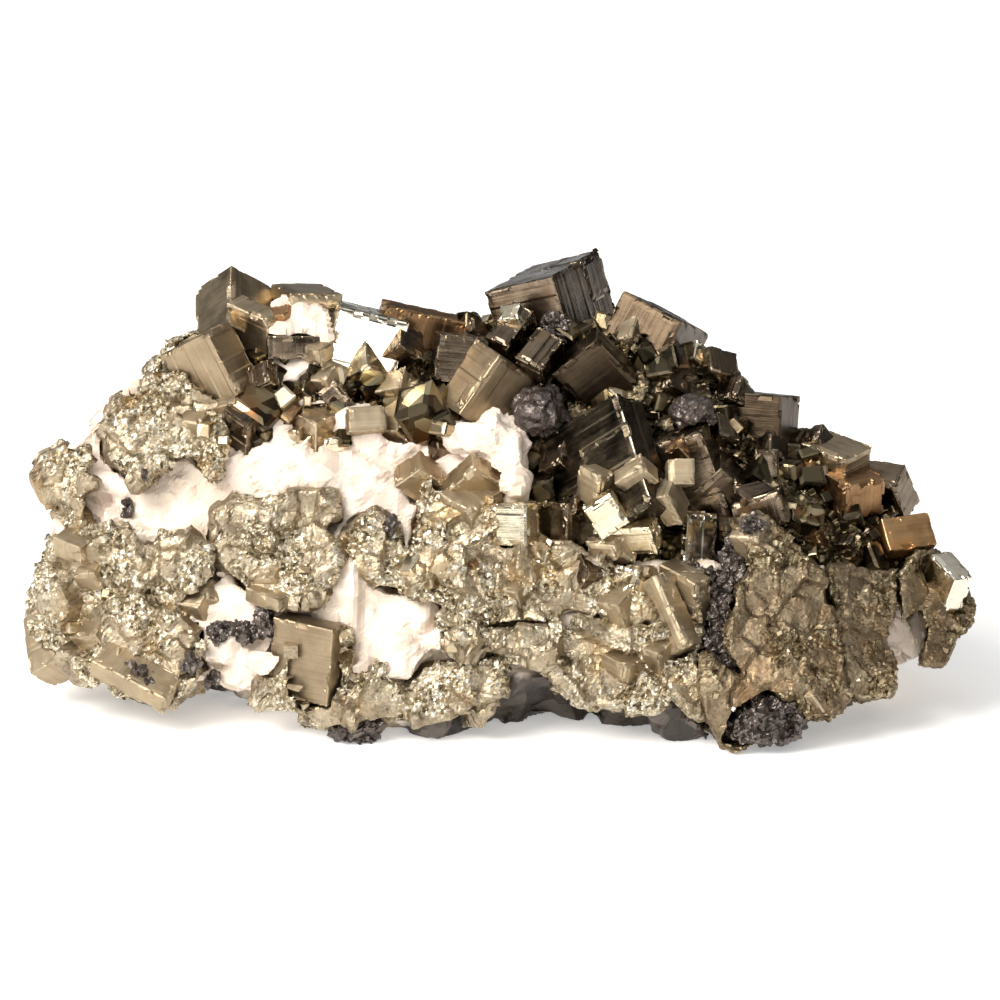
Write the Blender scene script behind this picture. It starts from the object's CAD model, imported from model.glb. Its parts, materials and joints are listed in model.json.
import json
import math

import bpy
import numpy as np
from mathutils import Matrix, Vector
from mathutils.bvhtree import BVHTree


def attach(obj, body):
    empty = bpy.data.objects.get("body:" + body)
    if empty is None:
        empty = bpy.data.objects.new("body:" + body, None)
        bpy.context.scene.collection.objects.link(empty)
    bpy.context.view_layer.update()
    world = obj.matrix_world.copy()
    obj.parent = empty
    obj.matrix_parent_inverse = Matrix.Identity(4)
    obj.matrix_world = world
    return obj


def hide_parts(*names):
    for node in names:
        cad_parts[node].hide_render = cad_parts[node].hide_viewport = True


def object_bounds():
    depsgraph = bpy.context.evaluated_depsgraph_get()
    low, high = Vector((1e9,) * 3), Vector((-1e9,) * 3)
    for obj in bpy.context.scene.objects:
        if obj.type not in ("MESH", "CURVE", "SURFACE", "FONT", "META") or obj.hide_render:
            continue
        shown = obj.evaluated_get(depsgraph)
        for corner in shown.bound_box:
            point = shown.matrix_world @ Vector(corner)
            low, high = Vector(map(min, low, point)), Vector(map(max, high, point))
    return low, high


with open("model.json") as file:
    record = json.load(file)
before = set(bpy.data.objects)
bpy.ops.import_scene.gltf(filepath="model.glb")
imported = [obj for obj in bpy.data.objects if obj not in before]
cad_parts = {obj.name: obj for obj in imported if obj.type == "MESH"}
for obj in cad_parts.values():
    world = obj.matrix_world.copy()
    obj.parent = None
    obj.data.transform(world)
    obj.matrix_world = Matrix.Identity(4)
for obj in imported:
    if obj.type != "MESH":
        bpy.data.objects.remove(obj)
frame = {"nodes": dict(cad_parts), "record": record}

cad_low, cad_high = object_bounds()
MM = 0.001
OUTSIDE_CAD = 0.008  # how far a surface may pass the CAD's box, as a share of its size
SAME_PLACE = 0.005 * MM  # corners closer than this are one corner
slot_of = {part["node"]: part["material_slot"] for part in frame["record"]["subparts"]}


# ----------------------------------------
# The quartz rock that everything grew on: cream-white massive quartz. It broke along rough,
# slightly curved faces a few millimetres across, and clay and iron have darkened its underside.
# ----------------------------------------

def linear(hex_colour):
    """A colour written in sRGB hex, as linear values."""
    channels = [int(hex_colour[i:i + 2], 16) / 255 for i in (1, 3, 5)]
    return [c / 12.92 if c < 0.04045 else ((c + 0.055) / 1.055) ** 2.4 for c in channels] + [1]


def add(tree, kind, inputs=None, **settings):
    """Adds a node with its settings, and fills its inputs with values or links.

    A node given as an input stands for its first output.
    """
    node = tree.nodes.new(kind)
    for name, value in settings.items():
        setattr(node, name, value)
    for name, value in (inputs or {}).items():
        if isinstance(value, bpy.types.Node):
            value = value.outputs[0]
        if isinstance(value, bpy.types.NodeSocket):
            tree.links.new(value, node.inputs[name])
        else:
            node.inputs[name].default_value = value
    return node


def start_material(name):
    material = bpy.data.materials.new(name)
    material.use_nodes = True
    material.node_tree.nodes.clear()
    return material, material.node_tree


def set_stops(ramp, stops):
    """Gives a colour ramp its stops: a position and a colour each."""
    band = ramp.color_ramp
    while len(band.elements) < len(stops):
        band.elements.new(0.5)
    for element, (position, hex_colour) in zip(band.elements, stops):
        element.position = position
        element.color = linear(hex_colour)


def start_tree(name, floats):
    """A Geometry Nodes tree that takes a mesh, numbers, a seed and a material, and gives a mesh."""
    tree = bpy.data.node_groups.new(name, "GeometryNodeTree")
    sockets = tree.interface
    sockets.new_socket("Geometry", in_out="INPUT", socket_type="NodeSocketGeometry")
    for title in (*floats, "Seed"):
        sockets.new_socket(title, in_out="INPUT", socket_type="NodeSocketFloat")
    sockets.new_socket("Material", in_out="INPUT", socket_type="NodeSocketMaterial")
    sockets.new_socket("Geometry", in_out="OUTPUT", socket_type="NodeSocketGeometry")
    return tree, add(tree, "NodeGroupInput").outputs


def end_tree(tree, geometry, material):
    real = add(tree, "GeometryNodeRealizeInstances", {"Geometry": geometry})
    coated = add(tree, "GeometryNodeSetMaterial", {"Geometry": real, "Material": material})
    add(tree, "NodeGroupOutput", {"Geometry": coated})
    return tree


def leaning_facets(tree, place, size, tilt, depth, base):
    """Adds to a base height the heights of flat cells that each lean and lie their own way."""
    scale = add(tree, "ShaderNodeMath", {0: 1.0, 1: size}, operation="DIVIDE")
    cells = add(tree, "ShaderNodeTexVoronoi", {"Vector": place, "Scale": scale}).outputs
    away = add(
        tree, "ShaderNodeVectorMath", {0: place, 1: cells["Position"]}, operation="SUBTRACT"
    )
    lean = add(
        tree, "ShaderNodeVectorMath", {0: cells["Color"], 1: (0.5, 0.5, 0.5)}, operation="SUBTRACT"
    )
    lean = add(tree, "ShaderNodeVectorMath", {0: lean}, operation="NORMALIZE")
    rise = add(
        tree, "ShaderNodeVectorMath", {0: away, 1: lean}, operation="DOT_PRODUCT"
    ).outputs["Value"]
    level = add(tree, "FunctionNodeSeparateColor", {"Color": cells["Color"]}).outputs["Blue"]
    level = add(tree, "ShaderNodeMath", {0: level, 1: 0.5}, operation="SUBTRACT")
    leaning = add(tree, "ShaderNodeMath", {0: rise, 1: tilt, 2: base}, operation="MULTIPLY_ADD")
    return add(tree, "ShaderNodeMath", {0: level, 1: depth, 2: leaning}, operation="MULTIPLY_ADD")


def broken_surface_tree():
    """Breaks a surface into flat facets that lean their own way, with patches of fine grains."""
    tree, given = start_tree(
        "broken_surface",
        ("Facet size", "Facet tilt", "Facet depth", "Grain size", "Grain depth", "Grainy share",
         "Warp", "Warp size", "Swell"),
    )
    place = add(tree, "GeometryNodeInputPosition")
    shift = add(tree, "ShaderNodeCombineXYZ", {0: given["Seed"], 1: given["Seed"]})
    place = add(tree, "ShaderNodeVectorMath", {0: place, 1: shift})
    patches = add(
        tree, "ShaderNodeTexNoise", {"Vector": place, "Scale": 1 / (5 * MM), "Detail": 3.0}
    )
    threshold = add(
        tree, "ShaderNodeMath", {0: 0.75, 1: given["Grainy share"]}, operation="SUBTRACT"
    )
    above = add(
        tree, "ShaderNodeMath", {0: patches.outputs["Fac"], 1: threshold}, operation="SUBTRACT"
    )
    grainy = add(tree, "ShaderNodeMath", {0: above, 1: 9.0}, operation="MULTIPLY", use_clamp=True)

    # Three sizes of facet: the large faces, the smaller ones on them, and the grains in patches.
    smaller = add(tree, "ShaderNodeMath", {0: given["Facet size"], 1: 0.42}, operation="MULTIPLY")
    slight = add(tree, "ShaderNodeMath", {0: given["Facet depth"], 1: 0.4}, operation="MULTIPLY")
    total = leaning_facets(
        tree, place, given["Facet size"], given["Facet tilt"], given["Facet depth"], given["Swell"]
    )
    total = leaning_facets(tree, place, smaller, given["Facet tilt"], slight, total)
    total = add(
        tree, "GeometryNodeBlurAttribute", {"Value": total, "Iterations": 1}, data_type="FLOAT"
    )
    grains = add(
        tree, "ShaderNodeMath", {0: given["Grain depth"], 1: grainy}, operation="MULTIPLY"
    )
    grain_tilt = add(tree, "ShaderNodeMath", {0: grainy, 1: 0.5}, operation="MULTIPLY")
    total = leaning_facets(tree, place, given["Grain size"], grain_tilt, grains, total)

    warp_scale = add(tree, "ShaderNodeMath", {0: 1.0, 1: given["Warp size"]}, operation="DIVIDE")
    swirl = add(tree, "ShaderNodeTexNoise", {"Vector": place, "Scale": warp_scale, "Detail": 2.0})
    drift = add(
        tree, "ShaderNodeVectorMath", {0: swirl.outputs["Color"], 1: (0.5, 0.5, 0.5)},
        operation="SUBTRACT",
    )
    strength = add(tree, "ShaderNodeMath", {0: given["Warp"], 1: 4.0}, operation="MULTIPLY")
    drift = add(tree, "ShaderNodeVectorMath", {0: drift, "Scale": strength}, operation="SCALE")
    normal = add(tree, "GeometryNodeInputNormal").outputs["Normal"]
    rise = add(tree, "ShaderNodeVectorMath", {0: normal, "Scale": total}, operation="SCALE")
    offset = add(tree, "ShaderNodeVectorMath", {0: rise, 1: drift})
    marked = add(
        tree, "GeometryNodeStoreNamedAttribute",
        {"Geometry": given["Geometry"], "Name": "grainy", "Value": grainy},
        data_type="FLOAT", domain="POINT",
    )
    moved = add(tree, "GeometryNodeSetPosition", {"Geometry": marked, "Offset": offset})
    return end_tree(tree, moved, given["Material"])


def set_inputs(modifier, values):
    """Sets a Geometry Nodes modifier's inputs by their sockets' identifiers."""
    for item in modifier.node_group.interface.items_tree:
        if item.in_out == "INPUT" and item.name in values:
            modifier[item.identifier] = values[item.name]


def link(name, data):
    made = bpy.data.objects.new(name, data)
    bpy.context.scene.collection.objects.link(made)
    return made


def points_of(mesh):
    points = np.empty(len(mesh.vertices) * 3, np.float32)
    mesh.vertices.foreach_get("co", points)
    return points.reshape(-1, 3)


def merged_copy(name, node):
    """A copy of a CAD node with its loose triangles joined."""
    source = frame["nodes"][node].data
    points = points_of(source)
    _, first, where = np.unique(
        np.round(points / SAME_PLACE), axis=0, return_index=True, return_inverse=True
    )
    where = where.ravel()
    faces = [[int(where[v]) for v in face.vertices] for face in source.polygons]
    mesh = bpy.data.meshes.new(name)
    mesh.from_pydata(points[first].tolist(), [], [f for f in faces if len(set(f)) == len(f)])
    mesh.update()
    return link(name, mesh)


def settle(piece):
    """Replaces a piece by what its modifiers make of it, kept inside the object's own box."""
    graph = bpy.context.evaluated_depsgraph_get()
    mesh = bpy.data.meshes.new_from_object(piece.evaluated_get(graph))
    piece.modifiers.clear()
    piece.data = mesh
    room = (np.array(cad_high) - np.array(cad_low)) * OUTSIDE_CAD
    low, high = np.array(cad_low) - room, np.array(cad_high) + room
    low[2] = 0
    kept = np.clip(points_of(mesh), low, high).astype(np.float32)
    mesh.vertices.foreach_set("co", kept.ravel())
    mesh.update()


def grow(piece, tree, material, **values):
    """Runs a Geometry Nodes tree on a piece and keeps the result."""
    modifier = piece.modifiers.new(tree.name, "NODES")
    modifier.node_group = tree
    set_inputs(modifier, {"Material": material, **values})
    settle(piece)


def broken_piece(node, name, material, voxel, **values):
    """Stands for a CAD node: its solid, remeshed finely and broken into facets."""
    piece = merged_copy(name, node)
    remesh = piece.modifiers.new("fine_mesh", "REMESH")
    remesh.mode = "VOXEL"
    remesh.voxel_size = voxel
    grow(piece, broken_surface, material, **values)
    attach(piece, "root")
    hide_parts(node)
    return piece


def quartz_look():
    """Milky quartz, dull and a little glassy, with cream, pinkish and clear-grey faces."""
    material, tree = start_material("milky_quartz")
    place = add(tree, "ShaderNodeTexCoord").outputs["Object"]
    faces = add(tree, "ShaderNodeTexVoronoi", {"Vector": place, "Scale": 1 / (3.5 * MM)})
    pick = add(tree, "ShaderNodeSeparateColor", {"Color": faces.outputs["Color"]}).outputs
    tone = add(tree, "ShaderNodeValToRGB", {"Fac": pick["Red"]})
    set_stops(tone, [(0.0, "#D6C6B6"), (0.3, "#E4D5C4"), (0.7, "#EBDFD0"), (1.0, "#E2CFC2")])
    cloud = add(
        tree, "ShaderNodeTexNoise", {"Vector": place, "Scale": 1 / (8 * MM), "Detail": 6.0}
    )
    dusty = add(
        tree, "ShaderNodeMapRange",
        {"Value": cloud.outputs["Fac"], "From Min": 0.5, "From Max": 0.75, "To Max": 0.5},
    )
    colour = add(
        tree, "ShaderNodeMix", {0: dusty, 6: tone, 7: linear("#C4B29C")}, data_type="RGBA"
    ).outputs[2]
    # Clay and iron stain, dark grey-brown: a ragged edge along the underside, and the hollow.
    height = add(tree, "ShaderNodeSeparateXYZ", {"Vector": place}).outputs["Z"]
    hollow = add(
        tree, "ShaderNodeVectorMath", {0: place, 1: (15 * MM, -22 * MM, 3 * MM)},
        operation="DISTANCE",
    ).outputs["Value"]
    hollow = add(
        tree, "ShaderNodeMapRange",
        {"Value": hollow, "From Min": 15 * MM, "From Max": 28 * MM, "To Min": 7 * MM, "To Max": 0},
    )
    edge = add(
        tree, "ShaderNodeMath", {0: cloud.outputs["Fac"], 1: 12 * MM, 2: hollow},
        operation="MULTIPLY_ADD",
    )
    edge = add(tree, "ShaderNodeMath", {0: edge, 1: 4 * MM}, operation="SUBTRACT")
    below = add(tree, "ShaderNodeMath", {0: edge, 1: height}, operation="SUBTRACT")
    stain = add(tree, "ShaderNodeMath", {0: below, 1: 450.0}, operation="MULTIPLY", use_clamp=True)
    earth = add(tree, "ShaderNodeValToRGB", {"Fac": pick["Green"]})
    set_stops(earth, [(0.0, "#2E2824"), (0.6, "#4A413A"), (1.0, "#6E655C")])
    colour = add(
        tree, "ShaderNodeMix", {0: stain, 6: colour, 7: earth}, data_type="RGBA"
    ).outputs[2]
    fine = add(
        tree, "ShaderNodeTexNoise", {"Vector": place, "Scale": 1 / (0.8 * MM), "Detail": 4.0}
    )
    bump = add(
        tree, "ShaderNodeBump",
        {"Height": fine.outputs["Fac"], "Strength": 0.3, "Distance": 0.12 * MM},
    )
    shader = add(
        tree, "ShaderNodeBsdfPrincipled",
        {"Base Color": colour, "Roughness": 0.55, "IOR": 1.54, "Normal": bump},
    )
    add(tree, "ShaderNodeOutputMaterial", {"Surface": shader})
    return material


broken_surface = broken_surface_tree()
rock = broken_piece(
    "quartz_rock", "rock", quartz_look(), 0.5 * MM,
    **{"Facet size": 7 * MM, "Facet tilt": 0.26, "Facet depth": 0.7 * MM,
       "Grain size": 1.4 * MM, "Grain depth": 0.1 * MM, "Grainy share": 0.12,
       "Warp": 0.4 * MM, "Warp size": 8 * MM, "Swell": 0.2 * MM, "Seed": 0.11},
)


# ----------------------------------------
# The massive pyrite: crusts and lumps of interlocking grains of brassy iron sulphide. Some of it
# broke into dull flat faces, and some is a glitter of grains under a millimetre across.
# ----------------------------------------

def massive_look(name, faces, grains, stain, gloss):
    """Massive pyrite or sphalerite: smooth dull faces, and grains with a tone and lean each."""
    material, tree = start_material(name)
    place = add(tree, "ShaderNodeTexCoord").outputs["Object"]
    grainy = add(tree, "ShaderNodeAttribute", attribute_name="grainy").outputs["Fac"]
    # Uneven grains about half a millimetre across, parted by dark crevices, on the broken patches.
    jitter = add(
        tree, "ShaderNodeTexNoise", {"Vector": place, "Scale": 1 / (0.8 * MM), "Detail": 2.0}
    ).outputs["Color"]
    bent = add(
        tree, "ShaderNodeVectorMath", {0: jitter, 1: (0.9 * MM,) * 3, 2: place},
        operation="MULTIPLY_ADD",
    )
    cells = add(tree, "ShaderNodeTexVoronoi", {"Vector": bent, "Scale": 1 / (0.5 * MM)})
    edge = add(
        tree, "ShaderNodeTexVoronoi", {"Vector": bent, "Scale": 1 / (0.5 * MM)},
        feature="DISTANCE_TO_EDGE",
    ).outputs["Distance"]
    crevice = add(
        tree, "ShaderNodeMapRange", {"Value": edge, "From Max": 0.14, "To Min": 0.75, "To Max": 0}
    )
    crevice = add(tree, "ShaderNodeMath", {0: crevice, 1: grainy}, operation="MULTIPLY")
    pick = add(tree, "ShaderNodeSeparateColor", {"Color": cells.outputs["Color"]}).outputs
    sparkle = add(tree, "ShaderNodeValToRGB", {"Fac": pick["Red"]})
    set_stops(sparkle, grains)
    broad = add(
        tree, "ShaderNodeTexNoise", {"Vector": place, "Scale": 1 / (4 * MM), "Detail": 8.0}
    )
    dull = add(tree, "ShaderNodeValToRGB", {"Fac": broad.outputs["Fac"]})
    set_stops(dull, faces)
    # Tiny dark pits, a quarter of a millimetre across, speckle the dull faces.
    pits = add(
        tree, "ShaderNodeTexNoise", {"Vector": place, "Scale": 1 / (0.5 * MM), "Detail": 3.0}
    ).outputs["Fac"]
    pits = add(
        tree, "ShaderNodeMapRange",
        {"Value": pits, "From Min": 0.52, "From Max": 0.66, "To Max": 0.5},
    )
    crevice = add(tree, "ShaderNodeMath", {0: crevice, 1: pits}, operation="MAXIMUM")
    colour = add(
        tree, "ShaderNodeMix", {0: grainy, 6: dull, 7: sparkle}, data_type="RGBA"
    ).outputs[2]
    colour = add(
        tree, "ShaderNodeMix", {0: crevice, 6: colour, 7: linear(grains[0][1])}, data_type="RGBA"
    ).outputs[2]
    old = add(
        tree, "ShaderNodeTexNoise", {"Vector": place, "Scale": 1 / (7 * MM), "Detail": 7.0,
                                     "Roughness": 0.65},
    )
    tarnish = add(
        tree, "ShaderNodeMapRange",
        {"Value": old.outputs["Fac"], "From Min": 0.52, "From Max": 0.72, "To Max": 0.7},
    )
    colour = add(
        tree, "ShaderNodeMix", {0: tarnish, 6: colour, 7: linear(stain)}, data_type="RGBA"
    ).outputs[2]
    lean = add(
        tree, "ShaderNodeVectorMath", {0: cells.outputs["Color"], 1: (0.5, 0.5, 0.5)},
        operation="SUBTRACT",
    )
    share = add(tree, "ShaderNodeMath", {0: grainy, 1: 0.6, 2: 0.06}, operation="MULTIPLY_ADD")
    lean = add(tree, "ShaderNodeVectorMath", {0: lean, "Scale": share}, operation="SCALE")
    normal = add(tree, "ShaderNodeNewGeometry").outputs["Normal"]
    normal = add(tree, "ShaderNodeVectorMath", {0: normal, 1: lean})
    normal = add(tree, "ShaderNodeVectorMath", {0: normal}, operation="NORMALIZE")
    fine = add(
        tree, "ShaderNodeTexNoise", {"Vector": place, "Scale": 1 / (0.4 * MM), "Detail": 3.0}
    )
    bump = add(
        tree, "ShaderNodeBump",
        {"Height": fine.outputs["Fac"], "Strength": 0.7, "Distance": 0.15 * MM, "Normal": normal},
    )
    rough = add(
        tree, "ShaderNodeMapRange",
        {"Value": pick["Green"], "To Min": gloss[0], "To Max": gloss[1]},
    )
    shader = add(
        tree, "ShaderNodeBsdfPrincipled",
        {"Base Color": colour, "Metallic": 1.0, "Roughness": rough, "Normal": bump},
    )
    add(tree, "ShaderNodeOutputMaterial", {"Surface": shader})
    return material, shader


# Pyrite is a metal to the eye. Fresh grains are pale brass, and older ones bronze or brown.
bright_massive, _ = massive_look(
    "massive_pyrite_pale",
    [(0.3, "#8E7F6B"), (0.5, "#A89A82"), (0.7, "#BFB29B")],
    [(0.0, "#5A4E3C"), (0.25, "#A89A7E"), (0.5, "#D8CCB0"), (1.0, "#FFFAEC")],
    "#A88A58", (0.34, 0.68),
)
tan_massive, _ = massive_look(
    "massive_pyrite_tan",
    [(0.3, "#786853"), (0.5, "#8B7B64"), (0.7, "#9F9178")],
    [(0.0, "#4A3D28"), (0.35, "#80705A"), (0.75, "#A39375"), (1.0, "#DED2B2")],
    "#8A6C4C", (0.4, 0.66),
)
dark_massive, _ = massive_look(
    "massive_pyrite_bronze",
    [(0.3, "#3A3328"), (0.5, "#5A5040"), (0.7, "#7C705A")],
    [(0.0, "#241F17"), (0.4, "#4C4332"), (0.8, "#857858"), (1.0, "#CDC09A")],
    "#5E4026", (0.2, 0.5),
)

MASS_LOOKS = {
    "pyrite_cap": dark_massive,
    "pyrite_right_block": tan_massive,
    "pyrite_right_shelf": tan_massive,
    "pyrite_right_end": tan_massive,
    "pyrite_rear_foot": tan_massive,
}
masses = {}
for number, node in enumerate(sorted(n for n, s in slot_of.items() if s == "pyrite_granular")):
    even = MASS_LOOKS.get(node) is tan_massive  # these broke along flatter faces
    masses[node] = broken_piece(
        node, node.replace("pyrite", "massive"), MASS_LOOKS.get(node, bright_massive),
        (0.5 if node == "pyrite_cap" else 0.28) * MM,
        **{"Facet size": 7 * MM, "Facet tilt": 0.15 if even else 0.28,
           "Facet depth": (0.35 if even else 0.7) * MM, "Grain size": 0.8 * MM,
           "Grain depth": (0.08 if even else 0.16) * MM, "Grainy share": 0.3,
           "Warp": 0.3 * MM, "Warp size": 6 * MM, "Swell": 0.1 * MM,
           "Seed": 0.2 + 0.013 * number},
    )


# ----------------------------------------
# The cubic crystals: single crystals of pyrite that grew into each other. Growth left steps and
# fine striations on every face, at right angles to those of the faces beside it.
# ----------------------------------------

PARALLEL = 0.9995  # the cosine between two directions that count as one
ON_FACE = 1e-6  # how near to a face a point on it lies, in millimetres


def crystal_frame(node):
    """A crystal's three lattice directions, its middle and its half sizes, in millimetres."""
    mesh = frame["nodes"][node].data
    groups = []
    for face in mesh.polygons:
        for group in groups:
            if abs(group[0].dot(face.normal)) > PARALLEL:
                group[1] += face.area
                break
        else:
            groups.append([face.normal.copy(), face.area])
    best, score = None, -1
    for i, (one, one_area) in enumerate(groups):
        for two, two_area in groups[i + 1:]:
            if abs(one.dot(two)) > 0.01:
                continue
            three = one.cross(two)
            total = one_area + two_area
            total += sum(area for normal, area in groups if abs(normal.dot(three)) > PARALLEL)
            if total > score:
                best, score = (one, two, three), total
    axes = np.array(best)
    ends = points_of(mesh) @ axes.T / MM
    low, high = ends.min(axis=0), ends.max(axis=0)
    return axes, (low + high) / 2, (high - low) / 2


def growth_steps(rng, half, ledge):
    """Step edges across a face, and how deep the face lies between them."""
    edges = [-half]
    while edges[-1] < half:
        edges.append(edges[-1] + rng.uniform(0.2, 1.6) ** 2)
    levels = np.cumsum(rng.normal(0, ledge, len(edges) + 1))
    return np.array(edges), np.clip(levels - levels.min(), 0, 4 * ledge)


def stepped_block(rng, axes, middle, half, spacing, ledge, turn):
    """One block of a crystal: points, faces, places across and along the grain, depth from rims."""
    points, faces, grain, start = [], [], [], 0
    for axis in range(3):
        across, along = (axis + 1) % 3, (axis + 2) % 3
        if turn:
            across, along = along, across
        counts = [max(2, int(2 * half[i] / spacing)) for i in (across, along)]
        for side in (-1, 1):
            u = np.linspace(-half[across], half[across], counts[0] + 1)
            v = np.linspace(-half[along], half[along], counts[1] + 1)
            uu, vv = np.meshgrid(u, v, indexing="ij")
            rest = np.empty((uu.size, 3))
            rest[:, axis] = side * half[axis]
            rest[:, across] = uu.ravel()
            rest[:, along] = vv.ravel()
            index = np.arange(uu.size).reshape(uu.shape) + start
            quads = np.stack(
                [index[:-1, :-1], index[1:, :-1], index[1:, 1:], index[:-1, 1:]], axis=-1
            ).reshape(-1, 4)
            if (side > 0) == turn:
                quads = quads[:, ::-1]
            points.append(rest)
            faces.append(quads)
            grain.append(rest[:, [across, along]] + rng.uniform(0, 50, 2))
            start += uu.size
    rest, quads, grain = np.concatenate(points), np.concatenate(faces), np.concatenate(grain)
    moved = rest.copy()
    rim = np.full(len(rest), 9.0)
    for axis in range(3):
        across = (axis + (2 if turn else 1)) % 3
        for side in (-1, 1):
            edges, levels = growth_steps(rng, half[across], ledge)
            on_face = np.abs(rest[:, axis] - side * half[axis]) < ON_FACE
            moved[on_face, axis] -= side * levels[np.searchsorted(edges, rest[on_face, across])]
        inside = half[axis] - np.abs(rest[:, axis])
        rim = np.where(inside > ON_FACE, np.minimum(rim, inside), rim)
    at_end = np.abs(np.abs(rest) - half) < ON_FACE
    on_edge = at_end.sum(axis=1) > 1
    rim[on_edge] = 0
    moved[on_edge] -= (np.sign(rest) * 0.05 * at_end)[on_edge]
    return (moved + middle) @ axes, quads, grain, rim


def crystal_blocks(rng, axes, middle, half, spacing, ledge, extra):
    """A crystal: its main block, and smaller ones in parallel growth at its corners and edges."""
    turn = bool(rng.integers(2))
    blocks = [stepped_block(rng, axes, middle, half, spacing, ledge, turn)]
    for _ in range(extra):
        small = half * rng.uniform(0.25, 0.6, 3)
        shift = rng.choice([-1, 1], 3) * (half * 1.03 - small) * rng.uniform(0.75, 1.0, 3)
        blocks.append(stepped_block(rng, axes, middle + shift, small, spacing, ledge * 0.6, turn))
    return blocks


def crystal_mesh(name, blocks):
    """One mesh of stepped blocks, with the grain's directions and the nearness of a rim."""
    points, faces, grain, rim, start = [], [], [], [], 0
    for block_points, block_faces, block_grain, block_rim in blocks:
        _, first, where = np.unique(
            np.round(block_points, 4), axis=0, return_index=True, return_inverse=True
        )
        where = where.ravel()
        points.append(block_points[first])
        faces.append(where[block_faces] + start)
        grain.append(block_grain[block_faces.ravel()])
        rim.append(block_rim[first])
        start += len(first)
    mesh = bpy.data.meshes.new(name)
    mesh.from_pydata((np.concatenate(points) * MM).tolist(), [], np.concatenate(faces).tolist())
    layer = mesh.uv_layers.new(name="grain")
    layer.data.foreach_set("uv", np.concatenate(grain).astype(np.float32).ravel())
    near_edge = mesh.attributes.new("rim", "FLOAT", "POINT")
    values = np.clip(1 - np.concatenate(rim) / 0.8, 0, 1).astype(np.float32)
    near_edge.data.foreach_set("value", values)
    mesh.update()
    return mesh


def worn_crystal_tree():
    """Chips a crystal's edges and corners, and leaves its faces very slightly wavy."""
    tree, given = start_tree("worn_crystal", ("Chip size", "Chip depth", "Wave"))
    place = add(tree, "GeometryNodeInputPosition")
    shift = add(tree, "ShaderNodeCombineXYZ", {0: given["Seed"], 1: given["Seed"]})
    place = add(tree, "ShaderNodeVectorMath", {0: place, 1: shift})
    rim = add(
        tree, "GeometryNodeInputNamedAttribute", {"Name": "rim"}, data_type="FLOAT"
    ).outputs["Attribute"]
    scale = add(tree, "ShaderNodeMath", {0: 1.0, 1: given["Chip size"]}, operation="DIVIDE")
    cells = add(tree, "ShaderNodeTexVoronoi", {"Vector": place, "Scale": scale}).outputs["Color"]
    chance = add(tree, "FunctionNodeSeparateColor", {"Color": cells}).outputs["Red"]
    chipped = add(tree, "ShaderNodeMapRange", {"Value": chance, "From Min": 0.45, "From Max": 1.0})
    chipped = add(tree, "ShaderNodeMath", {0: chipped, 1: 0.12}, operation="ADD")
    chipped = add(
        tree, "ShaderNodeMath", {0: chipped, 1: given["Chip depth"]}, operation="MULTIPLY"
    )
    chipped = add(tree, "ShaderNodeMath", {0: chipped, 1: rim}, operation="MULTIPLY")
    swell = add(
        tree, "ShaderNodeTexNoise", {"Vector": place, "Scale": 1 / (2.5 * MM), "Detail": 1.0}
    ).outputs["Fac"]
    swell = add(tree, "ShaderNodeMath", {0: swell, 1: given["Wave"]}, operation="MULTIPLY")
    inward = add(tree, "ShaderNodeMath", {0: swell, 1: chipped}, operation="SUBTRACT")
    normal = add(tree, "GeometryNodeInputNormal").outputs["Normal"]
    offset = add(tree, "ShaderNodeVectorMath", {0: normal, "Scale": inward}, operation="SCALE")
    moved = add(tree, "GeometryNodeSetPosition", {"Geometry": given["Geometry"], "Offset": offset})
    return end_tree(tree, moved, given["Material"])


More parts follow.
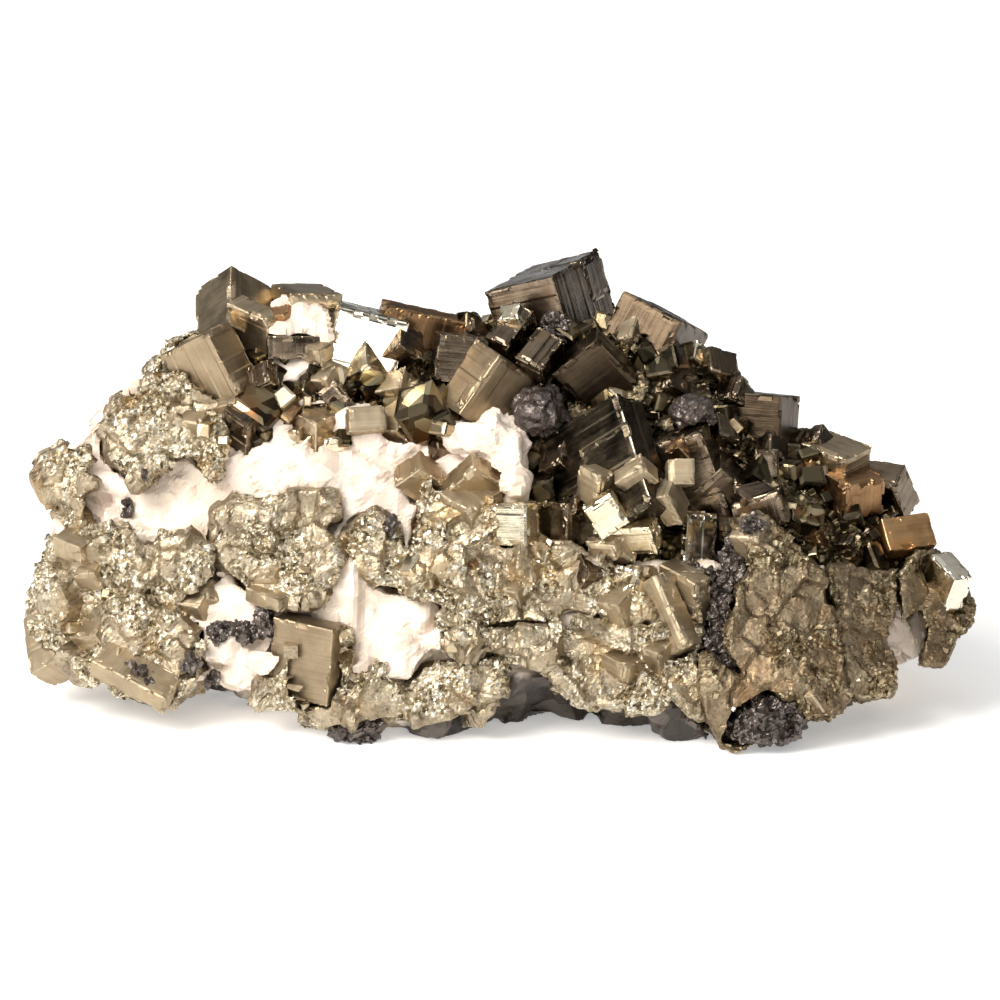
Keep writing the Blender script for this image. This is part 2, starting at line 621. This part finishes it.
def crystal_look(name, face, shade, edge, stain, stained, gloss, line_depth):
    """A pyrite face: fine striations along the grain, tarnish in patches, bright worn edges."""
    material, tree = start_material(name)
    place = add(tree, "ShaderNodeTexCoord").outputs["Object"]
    grain = add(tree, "ShaderNodeUVMap", uv_map="grain").outputs["UV"]
    # Striations are up to 0.3 mm wide and run the length of the face.
    narrow = add(
        tree, "ShaderNodeVectorMath", {0: grain, 1: (3.2, 0.05, 0.0)}, operation="MULTIPLY"
    )
    lines = add(
        tree, "ShaderNodeTexNoise",
        {"Vector": narrow, "Scale": 1.0, "Detail": 4.0, "Roughness": 0.7},
        noise_dimensions="2D",
    ).outputs["Fac"]
    cloud = add(
        tree, "ShaderNodeTexNoise",
        {"Vector": place, "Scale": 1 / (4 * MM), "Detail": 5.0, "Roughness": 0.6},
    ).outputs["Fac"]
    pits = add(
        tree, "ShaderNodeTexNoise", {"Vector": place, "Scale": 1 / (0.35 * MM), "Detail": 2.0}
    ).outputs["Fac"]
    drawn = add(tree, "ShaderNodeMath", {0: lines, 1: 0.5, 2: cloud}, operation="MULTIPLY_ADD")
    shaded = add(tree, "ShaderNodeMapRange", {"Value": drawn, "From Min": 0.6, "From Max": 0.9})
    colour = add(
        tree, "ShaderNodeMix", {0: shaded, 6: linear(shade), 7: linear(face)}, data_type="RGBA"
    ).outputs[2]
    tarnish = add(
        tree, "ShaderNodeMapRange",
        {"Value": cloud, "From Min": 0.64 - 0.3 * stained, "From Max": 0.84 - 0.3 * stained,
         "To Max": 0.75},
    )
    colour = add(
        tree, "ShaderNodeMix", {0: tarnish, 6: colour, 7: linear(stain)}, data_type="RGBA"
    ).outputs[2]
    worn = add(tree, "ShaderNodeAttribute", attribute_name="rim").outputs["Fac"]
    worn = add(tree, "ShaderNodeMath", {0: worn, 1: 8.0}, operation="POWER")
    worn = add(tree, "ShaderNodeMath", {0: worn, 1: pits}, operation="MULTIPLY")
    colour = add(
        tree, "ShaderNodeMix", {0: worn, 6: colour, 7: linear(edge)}, data_type="RGBA"
    ).outputs[2]
    rough = add(
        tree, "ShaderNodeMapRange",
        {"Value": cloud, "From Min": 0.3, "From Max": 0.7, "To Min": gloss[0], "To Max": gloss[1]},
    )
    relief = add(tree, "ShaderNodeMath", {0: pits, 1: 0.3, 2: lines}, operation="MULTIPLY_ADD")
    bump = add(
        tree, "ShaderNodeBump", {"Height": relief, "Strength": line_depth, "Distance": 0.08 * MM}
    )
    shader = add(
        tree, "ShaderNodeBsdfPrincipled",
        {"Base Color": colour, "Metallic": 1.0, "Roughness": rough, "Normal": bump},
    )
    add(tree, "ShaderNodeOutputMaterial", {"Surface": shader})
    return material


def finish_crystals(name, blocks, look, seed):
    piece = link(name, crystal_mesh(name, blocks))
    grow(
        piece, worn_crystal, look,
        **{"Chip size": 1.3 * MM, "Chip depth": 0.4 * MM, "Wave": 0.1 * MM, "Seed": seed},
    )
    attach(piece, "root")
    return piece


# Each look's colours (face, shaded parts, worn edges, stain), the share that is stained, the least
# and greatest roughness, and the striations' depth.
looks = {name: crystal_look(name, *values) for name, values in {
    "pyrite_brass": (
        "#BFAE92", "#A08E74", "#DCD0B4", "#8A6E54", 0.25, (0.3, 0.44), 0.22
    ),
    "pyrite_bright": (
        "#E2D7BE", "#CCBFA2", "#F6F0DC", "#A8946C", 0.1, (0.12, 0.26), 0.25
    ),
    "pyrite_dark_bronze": (
        "#857664", "#5A4E42", "#C2B494", "#5E4634", 0.3, (0.18, 0.34), 0.4
    ),
    "pyrite_brown_tarnish": (
        "#A88662", "#86684A", "#D0BC94", "#74482A", 0.35, (0.3, 0.46), 0.25
    ),
    "pyrite_brown_stained": (
        "#5C4F3F", "#3E3329", "#A08E70", "#36281C", 0.45, (0.25, 0.45), 0.35
    ),
    "pyrite_dull_brass": (
        "#A4937A", "#8A7A62", "#CDBF9E", "#7E664C", 0.3, (0.42, 0.56), 0.16
    ),
    "pyrite_black_striated": (
        "#625848", "#26221C", "#F0E8D4", "#30281E", 0.2, (0.1, 0.28), 0.6
    ),
    "pyrite_worn_brass": (
        "#BBAB90", "#9E8E76", "#DACCAE", "#8E7454", 0.3, (0.44, 0.6), 0.12
    ),
    "pyrite_orange_tarnish": (
        "#C4A27A", "#A88256", "#E0CDA0", "#BC7A30", 0.5, (0.34, 0.5), 0.2
    ),
    "pyrite_mirror_bright": (
        "#F1E9D8", "#E0D6C0", "#FBF6E8", "#B8A684", 0.05, (0.08, 0.2), 0.1
    ),
}.items()}
CRYSTAL_LOOKS = {
    "pyrite_brass": looks["pyrite_brass"], "pyrite_bright": looks["pyrite_bright"],
    "pyrite_dark": looks["pyrite_dark_bronze"], "pyrite_tarnished": looks["pyrite_brown_tarnish"],
}
OWN_LOOKS = {
    "glare_cube": "pyrite_mirror_bright", "right_end_cube": "pyrite_mirror_bright",
    "mirror_cube": "pyrite_mirror_bright", "striated_cube": "pyrite_black_striated",
    "slope_bar": "pyrite_brown_stained", "olive_cube": "pyrite_brown_stained",
    "right_crest_cube": "pyrite_brown_stained", "foot_cube": "pyrite_dull_brass",
    "shoulder_cube": "pyrite_dull_brass", "tan_cube": "pyrite_dull_brass",
    "front_prism": "pyrite_worn_brass", "orange_cube": "pyrite_orange_tarnish",
}
worn_crystal = worn_crystal_tree()
# Crystals whose growth steps are deep, with the depth of a step in millimetres.
LEDGES = {
    "striated_cube": 0.10, "banded_cube": 0.14, "shoulder_cube": 0.09, "stepped_cube_front": 0.12,
    "stepped_cube_rear": 0.12, "dark_bar": 0.08, "tall_blade": 0.07, "dark_cube_lower": 0.09,
    "dark_cube_upper": 0.08, "mirror_cube": 0.09, "summit_cube": 0.07, "tan_cube": 0.05,
}
for number, node in enumerate(sorted(n for n, s in slot_of.items() if s in CRYSTAL_LOOKS)):
    rng = np.random.default_rng(100 + number)
    axes, middle, half = crystal_frame(node)
    blocks = crystal_blocks(
        rng, axes, middle, half, max(0.16, min(0.3, half.max() / 20)), LEDGES.get(node, 0.025),
        int(rng.integers(1, 4)),
    )
    look = looks[OWN_LOOKS[node]] if node in OWN_LOOKS else CRYSTAL_LOOKS[slot_of[node]]
    piece = finish_crystals(node + "_crystal", blocks, look, 0.1 + 0.007 * number)
    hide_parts(node)


# ----------------------------------------
# The smaller crystals between them: pyrite again, 2 to 11 mm long, packed at every angle into the
# gaps, the crest and the pocket. Each is rooted in whatever lies behind it.
# ----------------------------------------

# They are laid out on a drawing of the front, seen from 15 degrees above the horizon, whose
# middle is 25.4 mm up: (across, up) of the corner nearest the eye, how far it stands out, and
# the angle and length of the three edges that meet there.
LOOK_DOWN = math.radians(15)
RIGHT = np.array([1.0, 0, 0])
UP = np.array([0, math.sin(LOOK_DOWN), math.cos(LOOK_DOWN)])
AWAY = np.array([0, math.cos(LOOK_DOWN), -math.sin(LOOK_DOWN)])
DRAWING_MIDDLE = np.array([-0.12, -5.53, 25.4])

INTERGROWN = {
    "pyrite_brass": [
        ((-21.5, 14.8), 2.2, ((62, 3.2), (178, 5), (300, 3))),
        ((-25, 8.5), 1.8, ((55, 3), (185, 3.5), (285, 4.5))),
        ((-18.8, 8.4), 2, ((3, 5), (95, 3.3), (228, 3))),
        ((-12.5, 14), 2.2, ((75, 3.5), (190, 4), (310, 4.5))),
        ((-33, 12.2), 1.5, ((70, 3), (195, 4), (310, 3))),
        ((-22.5, 18.6), 2, ((40, 3), (165, 4.5), (280, 2.5))),
        ((-3.5, -1.5), 2.2, ((35, 6), (150, 5.5), (268, 3))),
        ((16.5, 20.4), 2, ((75, 4), (190, 3.5), (310, 4))),
        ((20.8, 1.9), 2.4, ((1, 3.4), (92, 3.3), (226, 3))),
        ((12.4, 2.8), 2.6, ((15, 4.6), (150, 4), (262, 4.4))),
        ((17.6, 4.2), 2.4, ((96, 2.6), (212, 4.6), (318, 3.6))),
        ((20.6, 0.4), 2.6, ((68, 4), (188, 2.6), (300, 5))),
        ((14.2, -5.4), 2.8, ((40, 6), (176, 4.5), (282, 2.6))),
        ((14.8, -6.2), 2, ((75, 3), (200, 4), (320, 3))),
        ((12.6, -14.6), 2.5, ((58, 4.5), (178, 4), (300, 3))),
        ((-55.4, -20), 3.4, ((98, 8.5), (208, 4.5), (330, 5))),
        ((-41.5, -24.6), 3, ((48, 5), (153, 11), (262, 3))),
        ((-37.4, -13.4), 2.6, ((62, 5), (170, 5.5), (296, 4.5))),
        ((-27.5, -12.4), 2.4, ((22, 7.5), (158, 6), (270, 2))),
        ((-52.2, -5.8), 2.4, ((30, 5), (160, 5), (275, 3))),
        ((-50.4, -16.8), 2, ((58, 5), (186, 4.5), (306, 5))),
        ((-9.5, -27.2), 2.4, ((40, 6), (160, 5), (276, 3.2))),
        ((15.5, -20.5), 2, ((15, 8), (150, 5), (262, 2.6))),
        ((14.5, -13), 2.6, ((48, 7), (172, 4), (290, 4))),
        ((24, -10.4), 2.6, ((24, 3), (150, 6.5), (268, 6.5))),
        ((-36, -12), 1.6, ((100, 3), (215, 3.5), (335, 4))),
        ((-50.5, -9), 1.6, ((60, 3.4), (185, 3.6), (300, 3))),
        ((-47.5, -20.5), 1.8, ((85, 3), (200, 4.4), (320, 3.4))),
        ((-55, 2.5), 1.2, ((75, 3.4), (195, 3), (315, 3))),
        ((-28, -9.5), 1.4, ((60, 3.4), (185, 4.5), (300, 3))),
        ((31.8, -4.8), 1.8, ((62, 4.4), (175, 4), (290, 5.5))),
        ((45, -12.4), 1.4, ((65, 3), (185, 3), (300, 3))),
        ((-37.5, 9.5), 1.5, ((50, 2.6), (172, 3.6), (288, 3.4))),
        ((19.5, -19), 2, ((40, 4), (160, 3), (275, 4.5))),
        ((38.5, -24), 1.2, ((70, 3), (190, 3), (305, 3.4))),
        ((2, -11.5), 1.6, ((48, 3), (170, 4), (285, 2.6))),
    ],
    "pyrite_bright": [
        ((3.2, -0.4), 2.4, ((4, 3), (178, 5.2), (270, 5.4))),
        ((-16.5, 16.5), 2.6, ((95, 4), (205, 4.5), (335, 4.5))),
        ((-21.8, 7.6), 1.6, ((5, 3.8), (140, 4), (268, 2.6))),
        ((-10.5, 10.4), 1.6, ((60, 2.6), (180, 3), (290, 3.4))),
        ((1.8, 22.8), 2, ((70, 2.6), (190, 3), (310, 3))),
        ((16.5, -11), 1.8, ((70, 3.4), (190, 4), (310, 3))),
        ((-39, -14.4), 1.6, ((88, 4.4), (205, 3), (330, 2.4))),
        ((-46, -7.5), 1.3, ((65, 3), (190, 3.6), (310, 2.6))),
        ((5.6, -7.6), 1.5, ((80, 3), (198, 3.4), (318, 2.6))),
        ((-11, -8.6), 1.5, ((62, 3), (184, 3.4), (304, 3))),
        ((24.3, 17.8), 1.8, ((80, 3), (196, 3), (318, 4))),
    ],
    "pyrite_dark": [
        ((-18.2, 12.1), 2.6, ((128, 4.2), (220, 3.6), (352, 3.6))),
        ((-24.5, 13.5), 2.2, ((80, 3.5), (200, 4), (320, 3))),
        ((-27.5, 13), 1.8, ((100, 4), (220, 3), (340, 5))),
        ((-8.2, 13.2), 1.8, ((100, 4.5), (215, 3), (330, 4))),
        ((-7.6, 6.4), 1.6, ((110, 4), (235, 4), (350, 3))),
        ((-30.5, 17.2), 1.8, ((85, 3), (205, 3.5), (325, 3))),
        ((-12.5, 19.2), 2.2, ((85, 4), (210, 3.6), (330, 4))),
        ((-3.5, 21.2), 2, ((95, 3), (215, 4), (335, 5))),
        ((21, 14.5), 2.2, ((90, 4), (215, 4), (330, 4))),
        ((26.5, 16.3), 2, ((100, 4), (220, 4), (345, 5))),
        ((29.5, 13), 1.8, ((70, 3.6), (190, 4), (310, 4))),
        ((30.3, 0.3), 2.4, ((14, 5), (140, 3), (265, 3))),
        ((31.8, 2.8), 2, ((1, 3), (92, 3.6), (228, 3))),
        ((46.2, -3.4), 1.8, ((45, 2), (178, 2.6), (272, 2.6))),
        ((36.5, -2.5), 2, ((95, 3), (215, 3.5), (335, 3))),
        ((43.5, -5.4), 1.8, ((60, 2.8), (185, 3), (300, 2.6))),
        ((33.6, 6.2), 2.2, ((85, 3.4), (205, 3.6), (325, 3.4))),
        ((39.6, 7.6), 2, ((70, 3), (195, 3.4), (310, 3))),
        ((27.5, 8), 2, ((100, 4), (225, 3.4), (345, 3))),
        ((11, -9), 2.6, ((118, 3.5), (240, 3), (358, 7))),
        ((9.3, -1.6), 2.2, ((90, 3), (205, 3), (330, 3))),
        ((8.4, -0.4), 3, ((2, 3.4), (174, 3), (268, 5))),
        ((7.6, 4.6), 1.8, ((82, 3.6), (202, 4), (322, 3.4))),
        ((4.4, 6.6), 1.8, ((64, 3), (186, 3), (306, 3.4))),
    ],
    "pyrite_tarnished": [
        ((39.2, -4.2), 2, ((60, 2), (195, 2.5), (302, 5.2))),
        ((38.5, 2.6), 2, ((80, 3.4), (200, 3.4), (320, 3.4))),
        ((22.2, 6.4), 1.6, ((72, 2.4), (192, 2.6), (314, 2.6))),
        ((-27, 23), 1.6, ((66, 2.4), (186, 3), (302, 2.6))),
    ],
}


def edge_directions(angles):
    """The three edges of a cube from the angles that they are drawn at.

    Squares of the foreshortenings go as the sines of twice the angle between the other two.
    """
    turns = np.radians(angles)
    shares = np.sin(2 * (np.roll(turns, -2) - np.roll(turns, -1)))
    seen = np.sqrt(np.clip(2 * shares / shares.sum(), 0, 1))
    flat = np.cos(turns)[:, None] * RIGHT + np.sin(turns)[:, None] * UP
    return seen[:, None] * flat + np.sqrt(1 - seen ** 2)[:, None] * AWAY


def whole_surface():
    """Everything made so far, for finding what lies behind a place on the drawing."""
    corners, faces, start = [], [], 0
    for made in frame["nodes"].values():
        if made.type == "MESH":
            points = points_of(made.data)
            corners.extend(Vector(p) for p in points)
            faces.extend([v + start for v in face.vertices] for face in made.data.polygons)
            start += len(points)
    return BVHTree.FromPolygons(corners, faces)


def behind(place):
    """The point of the specimen that lies behind a place on the drawing, in millimetres."""
    eye = DRAWING_MIDDLE + place[0] * RIGHT + place[1] * UP - 100 * AWAY
    hit = surface.ray_cast(Vector(eye * MM), Vector(AWAY))[0]
    return np.array(hit) / MM if hit else eye + 100 * AWAY


surface = whole_surface()
for number, (slot, crystals) in enumerate(INTERGROWN.items()):
    rng = np.random.default_rng(7 + number)
    blocks = []
    for place, out, edges in crystals:
        directions = edge_directions([angle for angle, _ in edges])
        half = np.array([length for _, length in edges]) / 2
        middle = behind(place) - out * AWAY + half @ directions
        if np.linalg.det(directions) < 0:
            directions, half = directions[[1, 0, 2]], half[[1, 0, 2]]
        blocks += crystal_blocks(
            rng, directions, directions @ middle, half, 0.27, 0.03, int(rng.integers(0, 3))
        )
    finish_crystals(
        slot.replace("pyrite", "small_crystals"), blocks,
        looks["pyrite_worn_brass"] if slot == "pyrite_brass" else CRYSTAL_LOOKS[slot],
        0.6 + 0.01 * number,
    )


# ----------------------------------------
# The sphalerite: small clumps and a seam of zinc sulphide, violet-black and resinous, wedged
# between the pyrite. Its many tiny crystal faces glint.
# ----------------------------------------

sphalerite, shader = massive_look(
    "sphalerite",
    [(0.3, "#1C1716"), (0.5, "#2A2422"), (0.7, "#3A3331")],
    [(0.0, "#0C0A09"), (0.5, "#1E1A19"), (0.85, "#3A3431"), (1.0, "#746B66")],
    "#2A2322", (0.25, 0.5),
)
shader.inputs["Metallic"].default_value = 0.0
shader.inputs["IOR"].default_value = 2.37
shader.inputs["Specular Tint"].default_value = linear("#D8C9BF")

# The low clumps are granular, and the lumps higher up are smooth broken faces.
CLUMP = {
    "Facet size": 2.2 * MM, "Facet tilt": 0.4, "Facet depth": 0.6 * MM, "Grain size": 0.9 * MM,
    "Grain depth": 0.5 * MM, "Grainy share": 0.7, "Warp": 0.4 * MM, "Warp size": 3 * MM,
    "Swell": 0.0, "Seed": 0.5,
}
LUMP = CLUMP | {"Facet size": 3.2 * MM, "Facet tilt": 0.3, "Facet depth": 0.3 * MM,
                "Grain depth": 0.04 * MM, "Grainy share": 0.04, "Warp": 0.2 * MM}
for node in sorted(n for n, s in slot_of.items() if s == "sphalerite"):
    shape = LUMP if node in ("sphalerite_centre", "sphalerite_bead") else CLUMP
    broken_piece(node, node + "_clump", sphalerite, 0.28 * MM, **shape)

# Specks of it elsewhere: (across, up) on the drawing, and the half width and half height.
SPECKS = [
    ((-44.5, -21.8), 2.4, 1.5), ((-34.5, -16.6), 2.0, 1.5), ((-31.6, -16.2), 2.2, 1.5),
    ((-29, -15.4), 1.6, 1.8), ((7, 21.7), 1.8, 1.5), ((22.5, -8.6), 1.8, 1.0),
    ((25.5, -9.2), 1.8, 1.2), ((-13.6, -3), 1.5, 1.0), ((-43.6, 3.4), 0.9, 1.3),
    ((-45.2, 1.2), 0.9, 1.6), ((-46.8, -1), 0.8, 1.2), ((8.2, -3.6), 1.2, 1.2),
    ((-38.5, -20.4), 1.4, 1.0), ((-35.6, -22.2), 1.2, 0.9), ((31.2, -3.2), 1.4, 1.6),
]
bead = bpy.data.meshes.new("bead")
corners, faces = [], []
for (across, up), wide, high in SPECKS:
    middle = behind((across, up)) - 0.3 * min(wide, high) * AWAY
    rounds, rings, start = 12, 7, len(corners)
    for ring in range(rings):
        rise = math.pi * (ring + 0.5) / rings - math.pi / 2
        for step in range(rounds):
            turn = 2 * math.pi * step / rounds
            spot = RIGHT * wide * math.cos(turn) * math.cos(rise)
            spot = spot + AWAY * min(wide, high) * math.sin(turn) * math.cos(rise)
            corners.append((middle + spot + UP * high * math.sin(rise)) * MM)
            if ring:
                last = start + (ring - 1) * rounds
                one, two = last + step, last + (step + 1) % rounds
                faces.append((one, two, two + rounds, one + rounds))
    faces.append([start + step for step in reversed(range(rounds))])
    faces.append([start + (rings - 1) * rounds + step for step in range(rounds)])
bead.from_pydata(corners, [], faces)
specks = link("sphalerite_specks", bead)
remesh = specks.modifiers.new("fine_mesh", "REMESH")
remesh.mode, remesh.voxel_size = "VOXEL", 0.2 * MM
grow(specks, broken_surface, sphalerite, **CLUMP)
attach(specks, "root")


# ----------------------------------------
# The druse: small pyrite cubes, about 0.5 to 5 mm, scattered on the crusts and dense in the pocket
# between the large crystals, each half sunk in what it grew on.
# ----------------------------------------

def small_cube():
    """A cube with a growth step on each face."""
    points, faces = [], []
    for half, height in ((0.5, 0.5), (0.36, 0.55)):
        for axis in range(3):
            for side in (-1, 1):
                start = len(points)
                for one, other in ((-1, -1), (1, -1), (1, 1), (-1, 1)):
                    spot = [0.0, 0.0, 0.0]
                    spot[axis] = side * height
                    spot[(axis + 1) % 3] = one * half * side
                    spot[(axis + 2) % 3] = other * half
                    points.append(spot)
                faces.append([start, start + 1, start + 2, start + 3])
    for i in range(0, 24, 4):
        for j in range(4):
            k = (j + 1) % 4
            faces.append([i + j, i + k, i + 24 + k, i + 24 + j])
    mesh = bpy.data.meshes.new("small_cube")
    mesh.from_pydata(points, [], faces[6:])
    return link("small_cube", mesh)


def druse_tree(cube):
    """Scatters cubes over a surface, turned every way, with their middles in it."""
    tree, given = start_tree("druse", ("Density", "Spacing", "Smallest", "Largest"))
    seed = add(tree, "ShaderNodeMath", {0: given["Seed"], 1: 1.0}, operation="ADD")
    points = add(
        tree, "GeometryNodeDistributePointsOnFaces",
        {"Mesh": given["Geometry"], "Distance Min": given["Spacing"],
         "Density Max": given["Density"], "Seed": given["Seed"]},
        distribute_method="POISSON",
    )
    turn = add(
        tree, "FunctionNodeRandomValue", {0: (0, 0, 0), 1: (6.283, 6.283, 6.283), 8: seed},
        data_type="FLOAT_VECTOR",
    )
    share = add(
        tree, "FunctionNodeRandomValue", {2: 0.0, 3: 1.0, 8: seed}, data_type="FLOAT"
    ).outputs[1]
    share = add(tree, "ShaderNodeMath", {0: share, 1: 2.5}, operation="POWER")
    spread = add(
        tree, "ShaderNodeMath", {0: given["Largest"], 1: given["Smallest"]}, operation="SUBTRACT"
    )
    size = add(
        tree, "ShaderNodeMath", {0: spread, 1: share, 2: given["Smallest"]},
        operation="MULTIPLY_ADD",
    )
    shape = add(
        tree, "FunctionNodeRandomValue", {0: (0.6, 0.7, 0.8), 1: (1.3, 1.2, 1.2), 8: given["Seed"]},
        data_type="FLOAT_VECTOR",
    )
    scale = add(tree, "ShaderNodeVectorMath", {0: shape, "Scale": size}, operation="SCALE")
    cube_shape = add(tree, "GeometryNodeObjectInfo", {"Object": cube}).outputs["Geometry"]
    cubes = add(
        tree, "GeometryNodeInstanceOnPoints",
        {"Points": points.outputs["Points"], "Instance": cube_shape, "Rotation": turn,
         "Scale": scale},
    )
    return end_tree(tree, cubes, given["Material"])


def druse_look(name, tones, stain, gloss):
    """Small crystals: each has its own tone and gloss."""
    material, tree = start_material(name)
    place = add(tree, "ShaderNodeTexCoord").outputs["Object"]
    cells = add(tree, "ShaderNodeTexVoronoi", {"Vector": place, "Scale": 1 / (2.2 * MM)})
    pick = add(tree, "ShaderNodeSeparateColor", {"Color": cells.outputs["Color"]}).outputs
    tone = add(tree, "ShaderNodeValToRGB", {"Fac": pick["Red"]})
    set_stops(tone, tones)
    old = add(tree, "ShaderNodeTexNoise", {"Vector": place, "Scale": 1 / (6 * MM), "Detail": 5.0})
    tarnish = add(
        tree, "ShaderNodeMapRange",
        {"Value": old.outputs["Fac"], "From Min": 0.55, "From Max": 0.75, "To Max": 0.8},
    )
    colour = add(
        tree, "ShaderNodeMix", {0: tarnish, 6: tone, 7: linear(stain)}, data_type="RGBA"
    ).outputs[2]
    fine = add(
        tree, "ShaderNodeTexNoise", {"Vector": place, "Scale": 1 / (0.3 * MM), "Detail": 3.0}
    )
    bump = add(
        tree, "ShaderNodeBump",
        {"Height": fine.outputs["Fac"], "Strength": 0.35, "Distance": 0.06 * MM},
    )
    rough = add(
        tree, "ShaderNodeMapRange",
        {"Value": pick["Green"], "To Min": gloss[0], "To Max": gloss[1]},
    )
    shader = add(
        tree, "ShaderNodeBsdfPrincipled",
        {"Base Color": colour, "Metallic": 1.0, "Roughness": rough,
         "Normal": bump},
    )
    add(tree, "ShaderNodeOutputMaterial", {"Surface": shader})
    return material


def druse_on(ground, name, material, slot, zones=(), **values):
    """The druse on one piece, as one mesh. Zones are ovals on the drawing that it keeps to."""
    mesh = ground.data.copy()
    piece = link(name, mesh)
    if zones:
        points = points_of(mesh) / MM - DRAWING_MIDDLE
        across, up = points @ RIGHT, points @ UP
        inside = np.zeros(len(points), bool)
        for (x, y), wide, high in zones:
            inside |= ((across - x) / wide) ** 2 + ((up - y) / high) ** 2 < 1
        faces = [list(f.vertices) for f in mesh.polygons if inside[f.vertices[0]]]
        patch = bpy.data.meshes.new(name)
        patch.from_pydata(points_of(mesh).tolist(), [], faces)
        piece.data = patch
    grow(piece, druse, material, **values)
    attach(piece, "root")


cube = small_cube()
druse = druse_tree(cube)
druse_brass = druse_look(
    "druse_brass",
    [(0.0, "#7E6E56"), (0.4, "#AA9A7C"), (0.75, "#CBBC9E"), (1.0, "#EFE5CE")],
    "#8A6A4A", (0.2, 0.45),
)
druse_bronze = druse_look(
    "druse_bronze",
    [(0.0, "#2C261C"), (0.4, "#4C4436"), (0.75, "#766A52"), (1.0, "#B0A484")],
    "#70482A", (0.15, 0.38),
)
for number, (node, ground) in enumerate(sorted(masses.items())):
    if node != "pyrite_cap":
        druse_on(
            ground, "druse_" + node.removeprefix("pyrite_"), druse_brass, "pyrite_granular",
            **{"Density": 0.05e5, "Spacing": 1.6 * MM, "Smallest": 0.5 * MM,
               "Largest": 1.8 * MM, "Seed": number + 60.0},
        )
druse_on(
    masses["pyrite_cap"], "druse_pocket", druse_bronze, "pyrite_dark",
    **{"Density": 1.2e5, "Spacing": 1.7 * MM, "Smallest": 1.0 * MM, "Largest": 3.4 * MM,
       "Seed": 40.0},
)
druse_on(
    masses["pyrite_cap"], "druse_pocket_bright", druse_brass, "pyrite_brass",
    **{"Density": 0.25e5, "Spacing": 3 * MM, "Smallest": 0.8 * MM, "Largest": 2.4 * MM,
       "Seed": 41.0},
)
SLOPE = [((-27, 16), 8, 4), ((-24, 11), 8, 4), ((-14, 15), 7, 5), ((-9, 10), 4, 3)]
druse_on(
    rock, "druse_slope", druse_bronze, "pyrite_dark", SLOPE,
    **{"Density": 1.6e5, "Spacing": 2 * MM, "Smallest": 1.4 * MM, "Largest": 4.8 * MM,
       "Seed": 42.0},
)
druse_on(
    rock, "druse_slope_pale", druse_brass, "pyrite_brass", SLOPE,
    **{"Density": 0.6e5, "Spacing": 2.2 * MM, "Smallest": 0.9 * MM, "Largest": 3.4 * MM,
       "Seed": 43.0},
)
bpy.data.objects.remove(cube)


# ----------------------------------------
# The studio: a pale sweep of table, one large soft light from the upper left front, and a dim
# room that the mirror-bright faces pick up.
# ----------------------------------------

def pale_table():
    size = 3.0
    mesh = bpy.data.meshes.new("table")
    corners = [(-size, -size, 0), (size, -size, 0), (size, size, 0), (-size, size, 0)]
    mesh.from_pydata(corners, [], [(0, 1, 2, 3)])
    table = link("table", mesh)
    material, tree = start_material("matt_white_paper")
    shader = add(
        tree, "ShaderNodeBsdfPrincipled",
        {"Base Color": linear("#F7F6F4"), "Roughness": 0.9, "Emission Color": linear("#FFFFFF"),
         "Emission Strength": 0.35},
    )
    add(tree, "ShaderNodeOutputMaterial", {"Surface": shader})
    mesh.materials.append(material)


def softbox(name, place, aim, width, height, power, tint):
    light = bpy.data.lights.new(name, "AREA")
    light.shape = "RECTANGLE"
    light.size, light.size_y = width, height
    light.energy = power
    light.color = linear(tint)[:3]
    lamp = link(name, light)
    lamp.location = place
    lamp.rotation_euler = Vector(aim).to_track_quat("-Z", "Y").to_euler()


def dim_room():
    """The room seen in the crystals: pale overhead and to the left, dark to the right."""
    world = bpy.data.worlds.new("room")
    bpy.context.scene.world = world
    world.use_nodes = True
    tree = world.node_tree
    tree.nodes.clear()
    direction = add(tree, "ShaderNodeTexCoord").outputs["Generated"]
    parts = add(tree, "ShaderNodeSeparateXYZ", {"Vector": direction}).outputs
    height = add(tree, "ShaderNodeValToRGB", {"Fac": parts["Z"]})
    set_stops(
        height,
        [(0.0, "#F2F2F2"), (0.05, "#B4B4B4"), (0.14, "#3C3C3C"), (0.32, "#484848"),
         (0.6, "#CCCCCC"), (1.0, "#FFFFFF")],
    )
    side = add(
        tree, "ShaderNodeMapRange",
        {"Value": parts["X"], "From Min": -0.9, "From Max": 0.7, "To Min": 1.0, "To Max": 0.42},
    )
    background = add(tree, "ShaderNodeBackground", {"Color": height, "Strength": side})
    add(tree, "ShaderNodeOutputWorld", {"Surface": background})


pale_table()
softbox("key_light", (-0.42, -0.42, 0.52), (0.42, 0.42, -0.5), 0.5, 0.4, 8, "#FFFBF6")
softbox("front_fill", (0.05, -0.9, 0.62), (-0.05, 0.9, -0.6), 0.7, 0.35, 2.5, "#FFFFFF")
# Two white cards flat on the table, out of sight, that the mirror-bright faces pick up.
softbox("front_card", (-0.32, -0.33, 0.002), (0, 0, 1), 0.8, 0.32, 1.5, "#FFFFFF")
softbox("left_card", (-0.42, 0.05, 0.002), (0, 0, 1), 0.5, 0.44, 1.3, "#FFFFFF")
dim_room()

lens = bpy.data.cameras.new("camera")
lens.lens, lens.sensor_width, lens.clip_end = 400, 36, 10
camera = link("camera", lens)
camera.location = Vector(DRAWING_MIDDLE * MM) - Vector(AWAY) * 1.389
camera.rotation_euler = (math.radians(90) - LOOK_DOWN, 0, 0)
bpy.context.scene.camera = camera
bpy.context.scene.view_settings.view_transform = "Standard"
